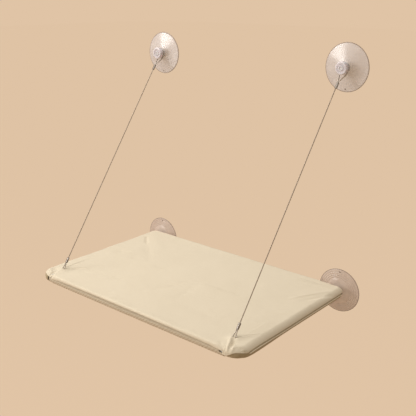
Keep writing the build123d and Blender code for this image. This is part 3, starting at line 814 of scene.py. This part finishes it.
def cloth_grid(columns, rows, radius, side, shape):
    """Cloth cut from the flat at the given columns and rows and laid round the frame, with its
    flat place kept as its UV map."""
    mesh = bmesh.new()
    bmesh.ops.create_grid(mesh, x_segments=len(columns) - 1, y_segments=len(rows) - 1, size=1)
    uv = mesh.loops.layers.uv.new("cut")
    flat = {}
    for vertex in mesh.verts:
        column = round((vertex.co.x + 1) / 2 * (len(columns) - 1))
        row = round((vertex.co.y + 1) / 2 * (len(rows) - 1))
        flat[vertex] = (columns[column], rows[row])
    for face in mesh.faces:
        for loop in face.loops:
            loop[uv].uv = flat[loop.vert]
    for vertex, (x, y) in flat.items():
        vertex.co = shape(x, y, radius, side)
    return mesh, flat


panel_sag = 0.0014
front_drop = 0.0014


def front_bow(x, y):
    """How far the front of the cover hangs below the frame's own level."""
    return front_drop * eased(-y, 0.285, 0.345) * (1 - 0.6 * (abs(x) / frame_half) ** 4)


def lumps(x, y, rate, layer, height):
    """Soft lumps in the cloth, of a height and at a rate per metre."""
    return noise.noise(Vector((x * rate, y * rate, layer))) * height


def top_shape(x, y, radius, side):
    """The top panel: tight over the tubes, sagging a little between them, with its folds."""
    if y < frame_front and abs(x) < hem_end:
        y = frame_front - (frame_front - y) * hem_cut(x) / roll_cut
    point, normal, over = on_frame(x, y, radius, side, True)
    share_x = min(1.0, abs(x) / frame_half)
    share_y = min(1.0, abs(y - (frame_front + frame_rear) / 2) / ((frame_rear - frame_front) / 2))
    sag = panel_sag * (1 - share_x ** 4) * (1 - share_y ** 3.2)
    slow = lumps(x, y, 9, 3.1, 0.0012) * eased(-over, -0.004, 0.03)
    roll = lumps(x, y, 22, 5.4, 0.0006) * eased(over, -0.03, 0.0)
    quick = lumps(x, y, 60, 7.7, 0.00018)
    hold = 1 - 0.6 * eased(over, 0.010, 0.020)
    point = point + normal * (fold_height(x, y) * hold + slow + roll + quick)
    point.z -= sag + front_bow(x, y)
    return point


def canvas_weave_group():
    """Plain weave from two rows of waves, with thick threads and cloudy dye: colour and height."""
    group, inside, link, entry, leave = shader_group(
        "canvas_weave",
        [("Flat place", "Vector"), ("Threads per metre", "Float"), ("Pale", "Color"), ("Shade", "Color")],
        [("Colour", "Color"), ("Height", "Float")])

    def maths(operation, first, second=None, value=0.0):
        node = inside.new("ShaderNodeMath")
        node.operation = operation
        link(first, node.inputs[0])
        if second is not None:
            link(second, node.inputs[1])
        else:
            node.inputs[1].default_value = value
        return node.outputs[0]

    split = inside.new("ShaderNodeSeparateXYZ")
    link(entry.outputs["Flat place"], split.inputs[0])
    rate = maths("MULTIPLY", entry.outputs["Threads per metre"], value=pi)
    over = maths("SINE", maths("MULTIPLY", split.outputs["X"], rate))
    under = maths("SINE", maths("MULTIPLY", split.outputs["Y"], rate))
    crossing = maths("MULTIPLY", over, under)
    # Half the crossing, plus the node's own default of a half: from 0 to 1.
    weave = maths("MULTIPLY_ADD", crossing, value=0.5)
    stretch = inside.new("ShaderNodeMapping")
    stretch.inputs["Scale"].default_value = (0.25, 1.0, 1.0)
    link(entry.outputs["Flat place"], stretch.inputs["Vector"])
    slubs = noise_texture(inside, link, stretch.outputs["Vector"], 3, 420)
    cloud = noise_texture(inside, link, entry.outputs["Flat place"], 5, 14)
    tone = maths("MULTIPLY", weave, value=0.12)
    tone = maths("ADD", tone, maths("MULTIPLY", slubs.outputs["Fac"], value=0.4))
    tone = maths("ADD", tone, maths("MULTIPLY", cloud.outputs["Fac"], value=0.45))
    blend = inside.new("ShaderNodeMix")
    blend.data_type = "RGBA"
    link(tone, blend.inputs["Factor"])
    link(entry.outputs["Pale"], blend.inputs["A"])
    link(entry.outputs["Shade"], blend.inputs["B"])
    link(blend.outputs["Result"], leave.inputs["Colour"])
    link(maths("ADD", weave, maths("MULTIPLY", slubs.outputs["Fac"], value=0.8)), leave.inputs["Height"])
    return group


canvas_weave = canvas_weave_group()


def canvas_material(name, pale, shade, puckered=0.0):
    """Plain woven canvas: threads both ways read on the flat cut, slubs, and a soft sheen. A
    puckered one also has fine slanting ripples of the given depth."""
    material, tree_nodes, link, shader = shader_material(name)
    cut = tree_nodes.new("ShaderNodeUVMap")
    cut.uv_map = "cut"
    threads = tree_nodes.new("ShaderNodeGroup")
    threads.node_tree = canvas_weave
    fill(threads, {"Threads per metre": 1100, "Pale": (*pale, 1), "Shade": (*shade, 1)})
    rise = bump(tree_nodes, link, threads.outputs["Height"], 0.35, 0.0003)
    link(cut.outputs["UV"], threads.inputs["Flat place"])
    link(threads.outputs["Colour"], shader.inputs["Base Color"])
    if puckered:
        pucker = tree_nodes.new("ShaderNodeTexWave")
        pucker.bands_direction = "DIAGONAL"
        fill(pucker, {"Scale": 85, "Distortion": 1.5, "Detail Scale": 1.5})
        link(cut.outputs["UV"], pucker.inputs["Vector"])
        ripple = bump(tree_nodes, link, pucker.outputs["Fac"], 0.8, puckered)
        link(ripple.outputs["Normal"], rise.inputs["Normal"])
    link(rise.outputs["Normal"], shader.inputs["Normal"])
    fill(shader, {"Roughness": 0.88, "Specular IOR Level": 0.25, "Sheen Weight": 0.15,
                  "Sheen Roughness": 0.5})
    return material


cream_canvas = canvas_material("cream_canvas", (0.84, 0.75, 0.595), (0.74, 0.65, 0.495))
# The flaps' canvas is the panel's canvas painted darker: painted shade.
flap_canvas_painted_shade = canvas_material("flap_canvas_painted_shade", (0.66, 0.57, 0.43), (0.57, 0.485, 0.36), puckered=0.0004)
# The seam tape is painted darker: painted shade for the gap and underside below the panel's edge.
tape_painted_shade = canvas_material("tape_painted_shade", (0.50, 0.41, 0.26), (0.38, 0.30, 0.18))
# The piping is painted paler than the panel: painted light on a cord that faces down.
piping_painted_light = canvas_material("piping_painted_light", (0.88, 0.79, 0.63), (0.80, 0.70, 0.54))


def thicken(piece, thickness):
    """Gives a sheet its thickness, inwards from its outer face."""
    wall = piece.modifiers.new("thickness", "SOLIDIFY")
    wall.thickness = thickness
    wall.offset = -1


# The panel's grid has fine columns at the slits and the strands' holes, and fine rows on the
# rolls. A slit is its middle, half its width, and how far above the frame's level it reaches.
side_zones = [
    (-frame_half - roll_cut, -frame_half, 0.0014), (-frame_half, -0.222, grid_fine),
    (-0.222, -0.198, 0.0016), (0.198, 0.222, 0.0016), (0.222, frame_half, grid_fine),
    (frame_half, frame_half + roll_cut, 0.0014)]
columns = stations(-frame_half - roll_cut, frame_half + roll_cut, side_zones)
slits = [(-hem_end, 0.0015, 0.0112), (hem_end, 0.0007, 0.0062)]
for edge, half, top in slits:
    columns = [x for x in columns if abs(x - edge) > half + 0.0002] + [edge - half, edge + half]
columns.sort()
rows = stations(frame_front - roll_cut, frame_rear + roll_cut, [
    (frame_front - roll_cut, frame_front, 0.0009), (frame_front, -0.310, 0.0013), (-0.310, -0.284, 0.0018),
    (frame_rear, frame_rear + roll_cut, 0.0014)])
mesh, flat = cloth_grid(columns, rows, roll_radius, 1, top_shape)
slit_faces = [face for face in mesh.faces for edge, half, top in slits
              if all(abs(flat[vertex][0] - edge) < half + 1e-5 and flat[vertex][1] < frame_front
                     and vertex.co.z < frame_level + top for vertex in face.verts)]
hole_faces = [face for face in mesh.faces
              if any(hypot(flat[face.verts[0]][0] - x, flat[face.verts[0]][1] - y) < hole_radius
                     for x, y in strand_holes)]
bracket_half = 0.0128
bracket_start = 0.0035
bracket_top = 0.0110
bracket_faces = [face for face in mesh.faces
                 if any(abs(abs(vertex.co.x) - lower_cup_x) < bracket_half
                        and vertex.co.y > frame_rear + bracket_start
                        and vertex.co.z < frame_level + bracket_top for vertex in face.verts)]
bmesh.ops.delete(mesh, geom=list(set(slit_faces + hole_faces + bracket_faces)), context="FACES")
bmesh.ops.remove_doubles(mesh, verts=mesh.verts, dist=0.00002)
bmesh.ops.recalc_face_normals(mesh, faces=mesh.faces)
cover = finished_piece("cover_panel", mesh, cream_canvas)
thicken(cover, 0.0014)
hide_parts("cover_top", "closure_loop_tape", "closure_hook_tape")
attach(cover, "platform")


# Bound seam: a tape below the panel's lower edge, from each front slit round the corner to the hinge
# notch at the back, with a piping along the side. The tape is painted darker than the canvas, as
# painted shade for the gap and the underside below the panel's edge, and the piping is painted
# paler, as painted light on a cord that faces down into shade.
tape_radius = 0.0114
tape_start = hem_end + 0.0085
hinge_notch = 0.004


def seam_band(name, side, low_turn, corner_turn, high_turn, first, crown, material):
    """Band under the panel's lower edge, between two turns from the top, from the first station
    on. It starts higher up at the front corner, as the panel's edge does, and is thickest along
    its middle."""
    mesh = bmesh.new()
    uv = mesh.loops.layers.uv.new("cut")
    high = high_turn * tape_radius
    corner_steps = 8
    side_steps = 110
    strips = 8
    path = [(tape_start + (frame_half - tape_start) * step / corner_steps, frame_front)
            for step in range(corner_steps)]
    path += [(frame_half, frame_front + (frame_rear - hinge_notch - frame_front) * step / side_steps)
             for step in range(side_steps + 1)]
    rows_made = []
    for x, y in path[first:]:
        line = []
        corner_share = 1 - eased(y, frame_front, frame_front + front_bend)
        low = (low_turn + (corner_turn - low_turn) * corner_share) * tape_radius
        for step in range(strips + 1):
            share = step / strips
            reach = low + (high - low) * share
            fan = reach if x > frame_half - 1e-6 else reach * (x - hem_end) / (frame_half - hem_end)
            flat_x = x + fan
            flat_y = y - reach if y < frame_front + 1e-6 else y
            grown = tape_radius + crown * sin(pi * share) ** 0.6
            point, normal, _ = on_frame(side * flat_x, flat_y, tape_radius, 1)
            line.append((mesh.verts.new(point + normal * (grown - tape_radius)), (side * flat_x, flat_y)))
        rows_made.append(line)
    for before, after in zip(rows_made, rows_made[1:]):
        for corners in zip(before, before[1:], after[1:], after):
            face = mesh.faces.new([vertex for vertex, place in corners])
            for loop, (vertex, place) in zip(face.loops, corners):
                loop[uv].uv = place
    bmesh.ops.recalc_face_normals(mesh, faces=mesh.faces)
    outward = sum(face.normal.dot(Vector((side, 0, 0))) for face in mesh.faces)
    if outward < 0:
        bmesh.ops.reverse_faces(mesh, faces=mesh.faces)
    band = finished_piece(name, mesh, material)
    thicken(band, 0.0007)
    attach(band, "platform")


for word, side in both_sides:
    seam_band("seam_tape_" + word, side, radians(76), radians(50), radians(150), 0, 0.0, tape_painted_shade)
    seam_band("seam_piping_" + word, side, radians(90), radians(90), radians(101), 13, 0.0009,
              piping_painted_light)


# Flaps below: the same weave, finely puckered, in a darker copy of the panel's canvas, as painted
# shade for cloth that faces down and forward. Each wraps one tube from below and ends flat; the front
# one comes up behind the panel's hem, where the closure holds it.
flap_cut = strip_radius * radians(65)
lap_cut = strip_radius * radians(125)
lap_tuck = 0.0014
side_tuck = 0.0011
flap_reach = 0.038
side_end = 0.0395
rear_half = 0.220
side_inner = 0.220
front_reach_x = 0.2335


def flap_shape(x, y, radius, side):
    """Cloth laid from below. The front flap goes in under the panel's hem, a side flap under the
    tape."""
    point, normal, over = on_frame(x, y, radius, side)
    wave = lumps(x, y, 40, 1.3, 0.00025)
    turn = over / radius
    under_hem = lap_tuck * eased(turn, radians(94), radians(112)) if y < frame_front else 0.0
    at_side = eased(abs(x), frame_half - 0.006, frame_half)
    under_tape = side_tuck * eased(turn, radians(12), radians(30)) * at_side
    point = point + normal * (wave - under_hem - under_tape)
    point.z -= front_bow(x, y) * 0.7
    return point


def flap(name, node, x_low, x_high, y_low, y_high, keep=None):
    """One flap, cut from the flat and laid from below, less the points that keep leaves out."""
    x_zones = [(-frame_half - flap_cut, -frame_half, 0.0022), (-0.2450, -0.2290, 0.0008),
               (0.2290, 0.2450, 0.0008), (frame_half, frame_half + flap_cut, 0.0022)]
    y_zones = [(frame_front - lap_cut, frame_front, 0.0016), (frame_rear, frame_rear + flap_cut, 0.0022)]
    columns = stations(x_low, x_high, x_zones)
    rows = stations(y_low, y_high, y_zones)
    mesh, _ = cloth_grid(columns, rows, strip_radius, -1, flap_shape)
    if keep is not None:
        left_out = [vertex for vertex in mesh.verts if not keep(vertex.co)]
        bmesh.ops.delete(mesh, geom=left_out, context="VERTS")
    bmesh.ops.remove_doubles(mesh, verts=mesh.verts, dist=0.00002)
    bmesh.ops.recalc_face_normals(mesh, faces=mesh.faces)
    if sum(face.normal.z * face.calc_area() for face in mesh.faces) > 0:
        bmesh.ops.reverse_faces(mesh, faces=mesh.faces)
    piece = finished_piece(name, mesh, flap_canvas_painted_shade)
    thicken(piece, 0.0010)
    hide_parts(node)
    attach(piece, "platform")
    return piece


# The front flap has a small notch behind the right slit. Each side flap is cut narrow beside the
# front flap and ends short of the rear one.
flap_half = hem_end + 0.0095
notch_x = (0.2283, 0.2326)
notch_z = (0.0030, 0.0100)
front_flap = flap("flap_front", "cover_flap_front", -flap_half, flap_half, frame_front - lap_cut,
                  frame_front + flap_reach,
                  keep=lambda spot: not (notch_x[0] < spot.x < notch_x[1]
                                         and notch_z[0] < spot.z < notch_z[1]))
rear_flap = flap("flap_rear", "cover_flap_rear", -rear_half, rear_half, frame_rear - flap_reach,
                 frame_rear + flap_cut)
side_outer = frame_half + flap_cut
for word, side in both_sides:
    span = (side_inner, side_outer) if side > 0 else (-side_outer, -side_inner)
    piece = flap("flap_side_" + word, "cover_flap_side_" + word, *span, frame_front - flap_cut,
                 frame_rear - side_end,
                 keep=lambda spot: abs(spot.x) > front_reach_x or spot.y > frame_front + side_end)
